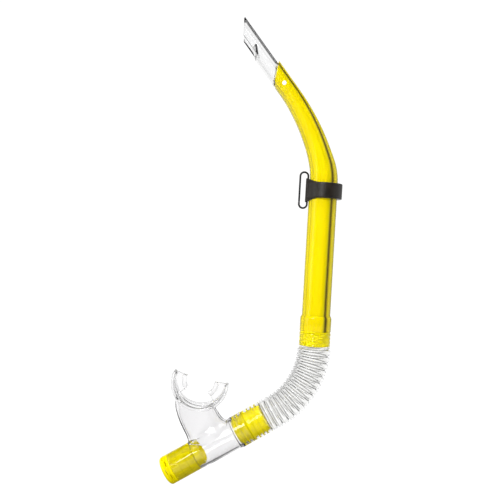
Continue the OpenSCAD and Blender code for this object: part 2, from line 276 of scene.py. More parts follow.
def points_of(piece: Object) -> np.ndarray:
    """Every point of a piece in millimetres, one row each."""
    flat = np.empty(len(piece.data.vertices) * 3, np.float32)
    piece.data.vertices.foreach_get("co", flat)
    return flat.reshape(-1, 3) / MM


def nearest(points: np.ndarray, stations: np.ndarray) -> np.ndarray:
    """For each point, the number of the nearest station of a centre line, seen along Y."""
    return ((points[:, None, [0, 2]] - stations[None]) ** 2).sum(-1).argmin(1)


def write_mark(piece: Object, name: str, values: np.ndarray) -> None:
    """Writes one value on each point of a piece, for its finish to read."""
    mark = piece.data.attributes.new(name, "FLOAT", "POINT")
    mark.data.foreach_set("value", values.astype(np.float32))


class Mesher:
    """Makes Blender objects out of shapes, and fuses and cuts them."""

    def make(self, name: str, shape: Shape, sharp: float = SHARP) -> Object:
        """Puts a shape into the scene, in metres, with its faces pointing outwards.

        Args:
            name: Name of the piece.
            shape: What to make.
            sharp: Edges above this angle in degrees stay sharp.

        Returns:
            The new object, at the origin.
        """
        mesh = bpy.data.meshes.new(name)
        mesh.from_pydata((shape.points * MM).tolist(), [], shape.faces)
        self.settle(mesh, sharp)
        return show(name, mesh)

    def settle(self, mesh: Mesh, sharp: float = SHARP) -> None:
        """Turns the faces outwards and shades them smooth between sharp edges."""
        work = bmesh.new()
        work.from_mesh(mesh)
        bmesh.ops.remove_doubles(work, verts=work.verts, dist=WELD)
        bmesh.ops.recalc_face_normals(work, faces=work.faces)
        work.to_mesh(mesh)
        work.free()
        mesh.shade_smooth()
        mesh.set_sharp_from_angle(angle=math.radians(sharp))

    def finish(self, piece: Object) -> None:
        """Applies a piece's modifiers to its mesh."""
        bpy.context.view_layer.update()
        seen = piece.evaluated_get(bpy.context.evaluated_depsgraph_get())
        mesh = bpy.data.meshes.new_from_object(seen)
        old = piece.data
        piece.modifiers.clear()
        piece.data = mesh
        bpy.data.meshes.remove(old)
        mesh.name = piece.name

    def boolean(
        self, piece: Object, tool: Shape, operation: str = "DIFFERENCE", sharp: float = SHARP
    ) -> None:
        """Cuts a shape out of a piece, or adds it.

        Args:
            piece: The piece to change.
            tool: The closed shape to cut or add.
            operation: DIFFERENCE or UNION.
            sharp: Edges above this angle in degrees stay sharp.
        """
        helper = self.make("tool", tool)
        step = piece.modifiers.new("tool", "BOOLEAN")
        step.operation = operation
        step.solver = "EXACT"
        step.object = helper
        self.finish(piece)
        bpy.data.objects.remove(helper)
        self.settle(piece.data, sharp)

    def fuse(self, name: str, shape: Shape, voxel: float, rounds: int) -> Object:
        """Fuses overlapping shapes into one moulding with soft fillets.

        Args:
            name: Name of the piece.
            shape: The overlapping closed shapes, joined.
            voxel: Grain of the remesh in millimetres.
            rounds: Passes of smoothing after it.

        Returns:
            The fused piece.
        """
        piece = self.make(name, shape)
        grain = piece.modifiers.new("grain", "REMESH")
        grain.mode = "VOXEL"
        grain.voxel_size = voxel * MM
        grain.adaptivity = 0.0
        soft = piece.modifiers.new("soft", "SMOOTH")
        soft.factor = 0.5
        soft.iterations = rounds
        self.finish(piece)
        self.settle(piece.data, FUSED_SHARP)
        return piece


# ---------------------------------------------------------------- finishes


class Slot(Enum):
    """The record's material slots."""

    YELLOW_PVC = "yellow_pvc"
    YELLOW_FITTINGS = "yellow_fittings"
    CLEAR_GUARD = "clear_guard"
    CLEAR_HOSE = "clear_hose"
    CLEAR_SILICONE = "clear_silicone"
    BLACK_RUBBER = "black_rubber"
    BLACK_WIRE = "black_wire"


class Nodes:
    """Adds nodes to a tree, each with what goes into it."""

    def __init__(self, tree: NodeTree) -> None:
        """Works on one tree."""
        self.tree = tree

    def feed(self, node: Node, inputs: dict[str | int, Term]) -> None:
        """Fills a node's inputs.

        Args:
            node: The node.
            inputs: For each input's name or number, a socket to link or a value to set.
        """
        for key, term in inputs.items():
            if isinstance(term, NodeSocket):
                self.tree.links.new(term, node.inputs[key])
            else:
                node.inputs[key].default_value = term

    def add(self, kind: str, inputs: dict[str | int, Term] | None = None) -> Node:
        """Adds a node of a kind and fills its inputs."""
        node = self.tree.nodes.new(kind)
        self.feed(node, inputs or {})
        return node

    def math(self, operation: str, *terms: Term) -> NodeSocket:
        """The result of a sum on sockets or numbers."""
        node = self.add("ShaderNodeMath", dict(enumerate(terms)))
        node.operation = operation
        return node.outputs[0]

    def mix(self, share: Term, first: Term, second: Term) -> NodeSocket:
        """The first colour, and the second by its share."""
        node = self.add("ShaderNodeMix")
        node.data_type = "RGBA"
        self.feed(node, {"Factor": share, "A": first, "B": second})
        return node.outputs["Result"]

    def span(
        self, value: Term, source: Span, target: Span = (0.0, 1.0), smooth: bool = False
    ) -> NodeSocket:
        """Carries a value from one range to another.

        Args:
            value: What to carry.
            source: Where the first range starts and ends.
            target: Where the second range starts and ends.
            smooth: True eases at both ends.

        Returns:
            The value in the second range.
        """
        node = self.add("ShaderNodeMapRange")
        node.interpolation_type = "SMOOTHSTEP" if smooth else "LINEAR"
        self.feed(node, {"Value": value, "From Min": source[0], "From Max": source[1]})
        self.feed(node, {"To Min": target[0], "To Max": target[1]})
        return node.outputs["Result"]

    def noise(self, place: NodeSocket, scale: float, detail: float) -> NodeSocket:
        """Noise at a place, with that many features a metre and that many octaves."""
        node = self.add("ShaderNodeTexNoise", {"Scale": scale, "Detail": detail, "Vector": place})
        return node.outputs["Fac"]


@dataclass(frozen=True)
class Finish:
    """A moulded or drawn material with its fine grain.

    Attributes:
        label: Name of the material.
        slot: The record's slot it stands for; not used by this script.
        colour: Main colour, linear.
        shade: Triple it drifts to in soft clouds.
        roughness: Gloss of the surface.
        transmission: Share of the light that passes.
        ior: Index of refraction.
        coat: Weight of the clear gloss on top.
        cloud: Clouds per metre.
        drift: How far the colour drifts, 0 to 1.
        grain: Fine bumps per metre.
        relief: Strength of the fine bumps.
        painted_glow: Painted glow, light that the material gives off as a share of its colour though it is no
            lamp.
    """

    label: str
    slot: Slot
    colour: Triple
    shade: Triple
    roughness: float
    ior: float
    transmission: float = 0.0
    coat: float = 0.0
    cloud: float = 60.0
    drift: float = 0.6
    grain: float = 900.0
    relief: float = 0.03
    painted_glow: float = 0.0

    def build(self) -> Material:
        """Makes the node material."""
        material = bpy.data.materials.new(self.label)
        material.use_nodes = True
        nodes = Nodes(material.node_tree)
        place = nodes.add("ShaderNodeTexCoord").outputs["Object"]
        clouds = nodes.noise(place, self.cloud, CLOUD_OCTAVES)
        tint = nodes.mix(
            nodes.span(clouds, CLOUD_RANGE, (0.0, self.drift)), (*self.colour, 1.0), (*self.shade, 1.0)
        )
        fine = nodes.noise(place, self.grain, GRAIN_OCTAVES)
        bump = nodes.add("ShaderNodeBump", {"Strength": self.relief, "Distance": BUMP_HEIGHT, "Height": fine})
        nodes.feed(material.node_tree.nodes["Principled BSDF"], {
            "Base Color": self.shade_lined(nodes, tint),
            "Roughness": self.roughness,
            "Transmission Weight": self.transmission,
            "IOR": self.ior,
            "Coat Weight": self.coat,
            "Coat Roughness": COAT_ROUGHNESS,
            # Painted glow: emission in the material's own colour brightens it, though it is no lamp.
            "Emission Color": (*self.colour, 1.0),
            "Emission Strength": self.painted_glow,
            "Normal": bump.outputs["Normal"],
        })
        return material

    def shade_lined(self, nodes: Nodes, colour: NodeSocket) -> NodeSocket:
        """The colour with the finish's lines of painted shade; a plain finish has none."""
        return colour


@dataclass(frozen=True)
class ShadeLined(Finish):
    """A finish with lines of painted shade, each near one value of an attribute that the piece carries.

    Attributes:
        guide: Name of the attribute.
        shade_lines: Value, half width and depth of each line of painted shade.
        shade_line_colour: Triple of the painted shade at the middle of a line.
    """

    guide: str = AROUND
    shade_lines: tuple[tuple[float, float, float], ...] = ()
    shade_line_colour: Triple = (0.2, 0.15, 0.0)

    def shade_lined(self, nodes: Nodes, colour: NodeSocket) -> NodeSocket:
        """Adds the lines of painted shade.

        Args:
            nodes: What adds the nodes.
            colour: The colour without the lines.

        Returns:
            The colour with them.
        """
        guide = nodes.add("ShaderNodeAttribute")
        guide.attribute_name = self.guide
        # Each line mixes the colour towards the painted shade colour near its value.
        for centre, half_width, depth in self.shade_lines:
            away = nodes.math("ABSOLUTE", nodes.math("SUBTRACT", guide.outputs["Fac"], centre))
            share = nodes.span(away, (0.0, half_width), (depth, 0.0), smooth=True)
            colour = nodes.mix(share, colour, (*self.shade_line_colour, 1.0))
        return colour


# Painted shade: the dark lines round the tube stand in for its bore's refraction edges and a dark band seen
# through the clear yellow wall; painted glow brightens it.
YELLOW_TUBE = ShadeLined(
    "yellow_tube", Slot.YELLOW_PVC, (0.98, 0.86, 0.0), (0.92, 0.75, 0.0), roughness=0.12, ior=1.25,
    transmission=0.55, coat=0.03, cloud=35.0, grain=700.0, relief=0.005, painted_glow=0.02,
    guide=AROUND, shade_lines=((0.78, 0.1, 1.0), (0.095, 0.02, 0.5), (0.98, 0.04, 0.6), (0.01, 0.025, 0.4)),
    shade_line_colour=(0.06, 0.042, 0.0),
)
# Painted shade: the dark rings on the fittings sit at rib roots, in grooves and at the housing's step. The
# rings at the lower collar and at the cap's foot mark real joints. Painted glow brightens the yellow.
UPPER_FITTING = ShadeLined(
    "yellow_upper_fitting", Slot.YELLOW_FITTINGS, (0.93, 0.81, 0.0), (0.68, 0.58, 0.0), roughness=0.12,
    ior=1.2, transmission=0.2, cloud=120.0, grain=1200.0, relief=0.01, painted_glow=0.1,
    guide=RING, shade_lines=((-127.5, 0.5, 0.6), (-131.0, 0.35, 0.5), (-134.3, 0.35, 0.5)),
    shade_line_colour=(0.25, 0.19, 0.0),
)
LOWER_FITTING = replace(UPPER_FITTING, label="yellow_lower_fitting", shade_lines=(
    (16.5, 0.7, 0.85), (11.4, 0.45, 0.5), (6.2, 0.45, 0.5), (23.0, 0.45, 0.5), (28.4, 0.5, 0.6),
))
PURGE_FITTING = replace(UPPER_FITTING, label="yellow_purge_fitting", shade_lines=(
    (-22.4, 0.6, 0.7), (-15.0, 0.4, 0.45), (-7.5, 0.4, 0.45),
))
YELLOW_CAP = replace(UPPER_FITTING, label="yellow_cap", shade_lines=(
    (0.0, 0.35, 0.6), (1.0, 0.3, 0.6), (2.1, 0.3, 0.6), (3.2, 0.3, 0.6),
))
CLEAR_PLATE = Finish(
    "clear_plate", Slot.CLEAR_GUARD, (0.985, 0.985, 0.985), (0.95, 0.95, 0.955), roughness=0.02, ior=1.36,
    transmission=1.0, cloud=50.0, drift=0.5, grain=500.0, relief=0.003,
)
# Painted highlight: the bosses are pale white with painted glow, which stands in for the bright spot on them.
BOSS_PAINTED_HIGHLIGHT = Finish(
    "boss_painted_highlight", Slot.CLEAR_GUARD, (0.93, 0.93, 0.93), (0.85, 0.85, 0.86), roughness=0.3, ior=1.49,
    transmission=0.2, cloud=400.0, drift=0.5, relief=0.05, painted_glow=0.2,
)
# Painted shade: a dark ring painted at each groove between the folds.
CLEAR_HOSE = ShadeLined(
    "clear_hose", Slot.CLEAR_HOSE, (0.975, 0.975, 0.97), (0.93, 0.93, 0.925), roughness=0.04, ior=1.22,
    transmission=1.0, cloud=90.0, grain=700.0,
    guide=FOLD, shade_lines=((0.0, 0.11, 0.9),), shade_line_colour=(0.13, 0.13, 0.12),
)
SILICONE = Finish(
    "clear_silicone", Slot.CLEAR_SILICONE, (0.925, 0.922, 0.926), (0.88, 0.874, 0.88), roughness=0.03,
    ior=1.43, transmission=1.0, cloud=70.0,
)
RUBBER = Finish(
    "black_rubber", Slot.BLACK_RUBBER, (0.008, 0.006, 0.004), (0.02, 0.015, 0.01), roughness=0.3, ior=1.33,
    cloud=180.0, drift=0.8, grain=2600.0, relief=0.25,
)
WIRE = Finish(
    "black_wire", Slot.BLACK_WIRE, (0.004, 0.004, 0.004), (0.01, 0.01, 0.01), roughness=0.3, ior=1.3,
    coat=0.05, cloud=400.0, drift=0.7, grain=3000.0, relief=0.1,
)


class Dresser:
    """Hands out materials, and ties pieces to the frame."""

    def __init__(self) -> None:
        """Starts with no material made."""
        self.made: dict[str, Material] = {}

    def dress(self, piece: Object, finish: Finish) -> None:
        """Gives a piece its finish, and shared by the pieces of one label."""
        if finish.label not in self.made:
            self.made[finish.label] = finish.build()
        piece.data.materials.clear()
        piece.data.materials.append(self.made[finish.label])

    def fit(self, piece: Object, finish: Finish, body: str, *nodes: str) -> None:
        """Dresses a piece, and lets it ride on a body in the place of CAD nodes."""
        self.dress(piece, finish)
        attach(piece, body)
        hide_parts(*nodes)


@dataclass
class Maker:
    """A sub-assembly in the making, with what shapes its pieces and what dresses them."""

    mesher: Mesher
    dresser: Dresser


# ---------------------------------------------------------------- barrel


@dataclass
class Barrel(Maker):
    """The yellow tube: straight below, bent and flattened above, with a slanted rim and a glued socket.

    The centre line is a straight, an arc of bend1_r, an arc of bend2_r and a straight, in the XZ plane.
    """

    radius: float = 12.75
    wall: float = 1.8
    straight_top: float = 8.0
    foot: float = -119.97
    bend1_r: float = 56.6
    bend1_angle: float = 17.3
    bend2_r: float = 195.0
    bend2_angle: float = 21.5
    top_run: float = 17.6
    top_width: float = 17.0
    rim_slant: float = 42.6
    rim_drop: float = 2.6
    edge_round: float = 0.5
    snap_depth: float = 12.6
    snap_shift: float = -1.3
    snap_r: float = 1.93
    socket_r: float = 14.0
    socket_foot: float = -126.0
    socket_top: float = -112.0

    @property
    def bend1_len(self) -> float:
        """Length of the first arc."""
        return self.bend1_r * math.radians(self.bend1_angle)

    @property
    def flat_at(self) -> float:
        """Where the last straight begins, from the straight's top."""
        return self.bend1_len + self.bend2_r * math.radians(self.bend2_angle)

    @property
    def rim_at(self) -> float:
        """Where the middle of the rim is."""
        return self.flat_at + self.top_run

    def turn_at(self, s: np.ndarray) -> np.ndarray:
        """Lean of the centre line in radians: it grows evenly along each arc."""
        first = np.clip(s, 0, self.bend1_len) / self.bend1_r
        second = np.clip(s - self.bend1_len, 0, self.flat_at - self.bend1_len) / self.bend2_r
        return first + second

    def centre_at(self, s: np.ndarray) -> np.ndarray:
        """Points of the centre line, as x and z.

        Each arc of radius r that starts at lean a and reaches lean b moves by r (cos b - cos a) along X and
        r (sin b - sin a) along Z; what is left over runs straight.
        """
        lean1 = np.clip(s, 0, self.bend1_len) / self.bend1_r
        x = self.bend1_r * (np.cos(lean1) - 1)
        z = self.straight_top + np.minimum(s, 0) + self.bend1_r * np.sin(lean1)
        a = math.radians(self.bend1_angle)
        b = a + np.clip(s - self.bend1_len, 0, self.flat_at - self.bend1_len) / self.bend2_r
        x = x + self.bend2_r * (np.cos(b) - math.cos(a))
        z = z + self.bend2_r * (np.sin(b) - math.sin(a))
        over = np.maximum(s - self.flat_at, 0)
        return np.stack([x - over * np.sin(b), z + over * np.cos(b)], -1)

    def half_width(self, s: np.ndarray) -> np.ndarray:
        """Half the width in the plane of the bend, which shrinks smoothly to the top width."""
        share = np.array([0, 0.13, 0.32, 0.65, 0.95])
        width = np.array([
            self.radius, self.radius * 0.95, self.radius * 0.62 + self.top_width * 0.17,
            self.radius * 0.25 + self.top_width * 0.375, self.top_width / 2,
        ])
        spread = np.linspace(-0.06, 0.06, 9)
        return np.mean([np.interp(s / self.flat_at + d, share, width) for d in spread], 0)

    def half_depth(self, s: np.ndarray) -> np.ndarray:
        """Half the width across the plane of the bend, at about the same girth."""
        return np.sqrt(2 * self.radius**2 - self.half_width(s) ** 2)

    def rim_place(self) -> Place:
        """The rim's frame: X across the tube away from the mouth, Z out along the tube."""
        x, z = self.centre_at(np.array([self.rim_at]))[0]
        return Place(float(x), float(z), -(self.bend1_angle + self.bend2_angle))

    def rim_height(self, v: np.ndarray) -> np.ndarray:
        """Height of the slanted rim over the square cut, with its low corner rounded off."""
        half = self.top_width / 2
        drop = np.clip((-v - 0.55 * half) / (0.45 * half), 0, 1)
        return v * math.tan(math.radians(self.rim_slant)) - self.rim_drop * drop**2.5

    def tube(self) -> Shape:
        """The wall of the tube, outside up and inside down, with rounded edges at the foot and the rim."""
        turn = circle(128)
        s = np.concatenate([
            np.linspace(self.foot - self.straight_top, -0.5, 24),
            np.linspace(0, self.flat_at, 90),
            np.linspace(self.flat_at + 1.0, self.rim_at, 16),
        ])
        lift = np.concatenate([np.zeros(114), np.linspace(0, 1, 16) ** 2])
        arc = np.linspace(0, math.pi, 9)[1:-1]
        half = self.wall / 2
        inset = np.concatenate([
            np.zeros(len(s)), half * (1 - np.cos(arc)), np.full(len(s), self.wall), half * (1 + np.cos(arc)),
        ])
        flat = np.zeros(len(s))
        rise = self.edge_round * np.concatenate([flat, np.sin(arc), flat, -np.sin(arc)])
        at = np.concatenate([s, np.full(7, s[-1]), s[::-1], np.full(7, s[0])])
        slant = np.concatenate([lift, np.ones(7), lift[::-1], np.zeros(7)])
        across = (self.half_width(at) - inset)[:, None] * np.cos(turn)
        deep = (self.half_depth(at) - inset)[:, None] * np.sin(turn)
        up = rise[:, None] + slant[:, None] * self.rim_height(across)
        lean = self.turn_at(at)[:, None]
        centre = self.centre_at(at)
        x = centre[:, 0, None] + across * np.cos(lean) - up * np.sin(lean)
        z = centre[:, 1, None] + across * np.sin(lean) + up * np.cos(lean)
        return grid(np.stack([x, deep, z], -1), True)

    def mark_around(self, piece: Object) -> None:
        """Writes on each point its place across the tube: 0 at the mouth's side and 1 away from it.

        Each point takes the lean and the centre of the nearest station of the centre line.
        """
        points = points_of(piece)
        s = np.linspace(self.foot - self.straight_top, self.rim_at + self.top_width, 360)
        centre = self.centre_at(s)
        near = nearest(points, centre)
        lean = self.turn_at(s)[near]
        off = points[:, [0, 2]] - centre[near]
        across = (off[:, 0] * np.cos(lean) + off[:, 1] * np.sin(lean)) / self.half_width(s)[near]
        deep = points[:, 1] / self.half_depth(s)[near]
        write_mark(piece, AROUND, 0.5 + 0.5 * np.cos(np.arctan2(deep, across)))

    def socket(self) -> Shape:
        """The collar over the barrel's foot, with its own shoulder inside."""
        return lathe(rounded([
            (12.0, self.socket_foot), (self.socket_r, self.socket_foot),
            (self.socket_r, self.socket_top - 2.2), (self.radius + 0.32, self.socket_top),
            (self.radius + 0.05, self.socket_top),
            (self.radius + 0.05, -120.0), (12.0, -120.0),
        ], 0.5))

    def build(self) -> list[Object]:
        """Makes the tube and the socket.

        Returns:
            The two pieces.
        """
        tube = self.mesher.make("barrel_tube", self.tube())
        hole = rod(self.snap_r, CUT_HALF, 40)
        place = self.rim_place().along(self.snap_shift, -self.snap_depth)
        self.mesher.boolean(tube, Shape(place.put(hole.points[:, [0, 2, 1]]), hole.faces))
        self.mark_around(tube)
        self.dresser.fit(tube, YELLOW_TUBE, "barrel", "barrel")
        socket = self.mesher.make("barrel_socket_collar", self.socket())
        self.mark_around(socket)
        self.dresser.fit(socket, YELLOW_TUBE, "barrel", "barrel_socket")
        return [tube, socket]


# ---------------------------------------------------------------- splash guard


@dataclass
class SplashGuard(Maker):
    """The clear hood in the barrel's top: sleeve, hood open at the front, lip and two snap bosses."""

    barrel: Barrel
    shift: float = -0.9
    hood_a: float = 7.4
    hood_b: float = 15.0
    hood_wall: float = 1.6
    sleeve_a: float = 6.67
    sleeve_b: float = 14.07
    sleeve_wall: float = 1.4
    sleeve_foot: float = -17.0
    tip: float = 57.8
    corner: float = 40.6
    mouth_half: float = 11.5
    lip_low: float = 21.9
    lip_top: float = 30.9
    lip_lean: float = 3.7
    brim: float = 0.35

    def crown(self, v: np.ndarray, y: np.ndarray) -> np.ndarray:
        """Height of the hood's edge: a slope from the front corner to the tip, cut down over the mouth."""
        span = 2 * self.hood_a
        share = np.clip((v - self.shift + self.hood_a) / span, 0, 1)
        slope = self.corner + (self.tip - self.corner) * share
        open_front = (np.abs(y) < self.mouth_half) & (v < self.shift)
        return np.where(open_front, self.lip_low, slope)

    def shell(self) -> Shape:
        """Hood and sleeve as one wall: outside up, over the edge, inside down, and round the sleeve's foot.

        Rows go by height and columns round the oval; columns crowd at the mouth's two sides, so that they
        stand nearly upright there.
        """
        side = math.asin(self.mouth_half / self.hood_b)
        gap = math.radians(0.25)
        front = np.linspace(-side + gap, side - gap, 31)
        back = np.linspace(side, 2 * math.pi - side, 150)
        turn = math.pi + np.concatenate([front, back])
        cos = np.cos(turn)
        sin = np.sin(turn)
        crown = self.crown(self.shift + self.hood_a * cos, self.hood_b * sin)
        seat = self.barrel.rim_height(self.shift / 2 + self.sleeve_a * cos) + 0.05
        brim = crown - self.brim
        foot = self.sleeve_foot
        step = foot + 0.5
        wall = self.hood_wall
        sleeve = (self.sleeve_a, self.sleeve_b, 0.0)
        hood = (self.hood_a, self.hood_b, self.shift)
        rings = [(sleeve, 0.4, foot), (sleeve, 0.0, step)]
        rings += [(sleeve, 0.0, step + share * (seat - step)) for share in np.linspace(0.1, 1.0, 10)]
        rings += [(hood, 0.2, seat + 0.02), (hood, 0.0, seat + 0.3)]
        low = seat + 0.3
        rings += [(hood, 0.0, low + share * (brim - low)) for share in np.linspace(0.08, 1.0, 22)]
        rings += [(hood, 0.15, crown - 0.12), (hood, 0.5, crown)]
        rings += [(hood, wall - 0.5, crown), (hood, wall - 0.15, crown - 0.12)]
        low = seat + 2.0
        rings += [(hood, wall, low + share * (brim - low)) for share in np.linspace(1.0, 0.0, 22)]
        wall = self.sleeve_wall
        rings += [(sleeve, wall, step + share * (seat - 2.5 - step)) for share in np.linspace(1.0, 0.0, 10)]
        rings.append((sleeve, wall - 0.4, foot))
        return grid(np.stack([
            np.stack([shift + (a - inset) * cos, (b - inset) * sin, height + 0 * cos], -1)
            for (a, b, shift), inset, height in rings
        ]), True)

    def lip(self) -> Shape:
        """The lip that leans into the mouth: an outline in the plane of the bend, curved across it."""
        front = self.shift - self.hood_a
        outline = rounded([
            (front + 0.4, self.lip_low - 3), (front + 0.1, self.lip_low),
            (front + self.lip_lean, self.lip_top),
            (front + self.lip_lean + 1.6, self.lip_top - 0.7), (front + self.hood_wall, self.lip_low),
            (front + self.hood_wall - 0.3, self.lip_low - 3),
        ], 0.5)
        y = np.linspace(-self.mouth_half + 0.35, self.mouth_half - 0.35, 29)
        bow = self.hood_a * (1 - np.sqrt(1 - (y / self.hood_b) ** 2))
        rows = np.stack([
            outline[None, :, 0] + bow[:, None], np.broadcast_to(y[:, None], (len(y), len(outline))),
            np.broadcast_to(outline[None, :, 1], (len(y), len(outline))),
        ], -1)
        return grid(rows, False)

    def bosses(self) -> Shape:
        """Two domed snap bosses, one each way along Y."""
        deep = float(self.barrel.half_depth(np.array([self.barrel.rim_at]))[0])
        dome = np.array([
            [1.86, self.sleeve_b - 1.0], [1.86, deep - 0.5], [1.72, deep - 0.1], [1.4, deep + 0.15],
            [0.9, deep + 0.28], [0.2, deep + 0.33],
        ])
        solid = spindle(dome, 40)
        near = solid.points[:, [0, 2, 1]]
        move = np.array([self.barrel.snap_shift, 0, -self.barrel.snap_depth])
        far = near * np.array([1, -1, 1])
        return Shape(near + move, solid.faces).joined(Shape(far + move, solid.faces))

    def build(self) -> list[Object]:
        """Makes the guard as one clear moulding, and the bosses, pale white with a painted glow that stands
        in for their highlight.

        Returns:
            The two pieces.
        """
        place = self.barrel.rim_place()
        guard = self.mesher.make("splash_guard_hood", place.shape(self.shell()))
        self.mesher.boolean(guard, place.shape(self.lip()), "UNION")
        self.dresser.fit(guard, CLEAR_PLATE, "barrel", "splash_guard")
        bosses = self.mesher.make("splash_guard_bosses", place.shape(self.bosses()))
        self.dresser.dress(bosses, BOSS_PAINTED_HIGHLIGHT)
        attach(bosses, "barrel")
        return [guard, bosses]


# ---------------------------------------------------------------- keeper


@dataclass
class Keeper(Maker):
    """The rubber band round the barrel and the wire ring in its fold."""

    bore: float = 12.83
    band_half: float = 7.0
    outer: float = 16.1
    shift: float = 0.95
    fold_x: float = -15.93
    fold_half: float = 11.0
    bar_x: float = -14.05
    bar_hole: float = 0.93
    pitch: float = 7.15
    wire_r: float = 0.85
    half_turn_z: float = 12.575
    meet_up: float = 2.0
    pinch: float = 0.22
    pinch_half: float = 0.35

    def band(self) -> Object:
        """The band: a round strip fused with the taller fold, then bored for the barrel and the bar."""
        strip = spindle(rounded([
            (0.5, -self.band_half), (self.outer, -self.band_half),
            (self.outer, self.band_half), (0.5, self.band_half),
        ], 0.7)[5:15])
        strip.points[:, 0] += self.shift
        y = np.array([-14.0, -2.1, -1.7, 1.7, 2.1, 14.0])
        x = np.array([-5.0, self.fold_x + 0.6, self.fold_x, self.fold_x, self.fold_x + 0.6, -5.0])
        share = np.clip((x + 7.0) / (self.fold_x + 7.0), 0, 1)
        tall = self.band_half - 0.2 + (self.fold_half - self.band_half + 0.2) * share
        rows = np.stack([np.stack([x, y, k * tall], -1) for k in np.linspace(-1, 1, 9)])
        band = self.mesher.fuse("keeper_band_rubber", strip.joined(grid(rows, False)), 0.4, 6)
        self.mesher.boolean(band, rod(self.bore, CUT_HALF, 128), sharp=SOFT_SHARP)
        hole = rod(self.bar_hole, CUT_HALF, 32)
        hole.points[:, 0] += self.bar_x
        self.mesher.boolean(band, hole, sharp=SOFT_SHARP)
        return band

    def ring(self) -> Shape:
        """The wire: a circle carried round a slot-shaped path, pinched a little where its two ends meet."""
        bend_r = self.pitch / 2
        a = np.linspace(0, math.pi, 25)
        straight = np.linspace(-self.half_turn_z, self.half_turn_z, 40)[1:-1]
        right = np.stack([np.full(38, bend_r), straight], -1)
        top = np.stack([bend_r * np.cos(a), self.half_turn_z + bend_r * np.sin(a)], -1)
        path = np.vstack([right, top, -right, -top])
        ahead = np.roll(path, -1, 0) - np.roll(path, 1, 0)
        ahead /= np.linalg.norm(ahead, axis=1, keepdims=True)
        out = np.stack([ahead[:, 1], -ahead[:, 0]], -1)
        meet = np.linalg.norm(path - np.array([-bend_r, -self.half_turn_z + self.meet_up]), axis=1)
        radius = self.wire_r * (1 - self.pinch * np.exp(-((meet / self.pinch_half) ** 2)))
        turn = circle(24)
        x = path[:, 0, None] + radius[:, None] * np.cos(turn) * out[:, 0, None]
        z = path[:, 1, None] + radius[:, None] * np.cos(turn) * out[:, 1, None]
        y = radius[:, None] * np.sin(turn)
        x = x + self.bar_x - bend_r
        return grid(np.stack([x, y, z], -1), True)

    def build(self) -> list[Object]:
        """Makes the band and the ring.

        Returns:
            The two pieces.
        """
        band = self.band()
        self.dresser.fit(band, RUBBER, "keeper", "keeper_band")
        ring = self.mesher.make("keeper_wire_ring", self.ring())
        self.dresser.fit(ring, WIRE, "strap_ring", "keeper_ring")
        return [band, ring]


# ---------------------------------------------------------------- hose and couplings


def ribs(radius: float, start: float, end: float, count: int, depth: float) -> list[tuple[float, float]]:
    """Outline of ribs that slope towards the end and drop square at their back.

    Args:
        radius: Radius over a rib's back.
        start: Height of the first rib's back.
        end: Height where the last rib ends.
        count: Number of ribs.
        depth: How far a rib slopes in.

    Returns:
        Points of radius and height.
    """
    edges = [start + i * (end - start) / count for i in range(count + 1)]
    pairs = [((radius, back), (radius - depth, tip)) for back, tip in zip(edges, edges[1:])]
    return [corner for pair in pairs for corner in pair]


def mark_rings(piece: Object, place: Place) -> None:
    """Writes on each point of a piece its height along the Z of the place it was made at, in millimetres."""
    foot, tip = place.put(np.array([[0.0, 0.0, 0.0], [0.0, 0.0, 1.0]]))
    write_mark(piece, RING, (points_of(piece) - foot) @ (tip - foot))


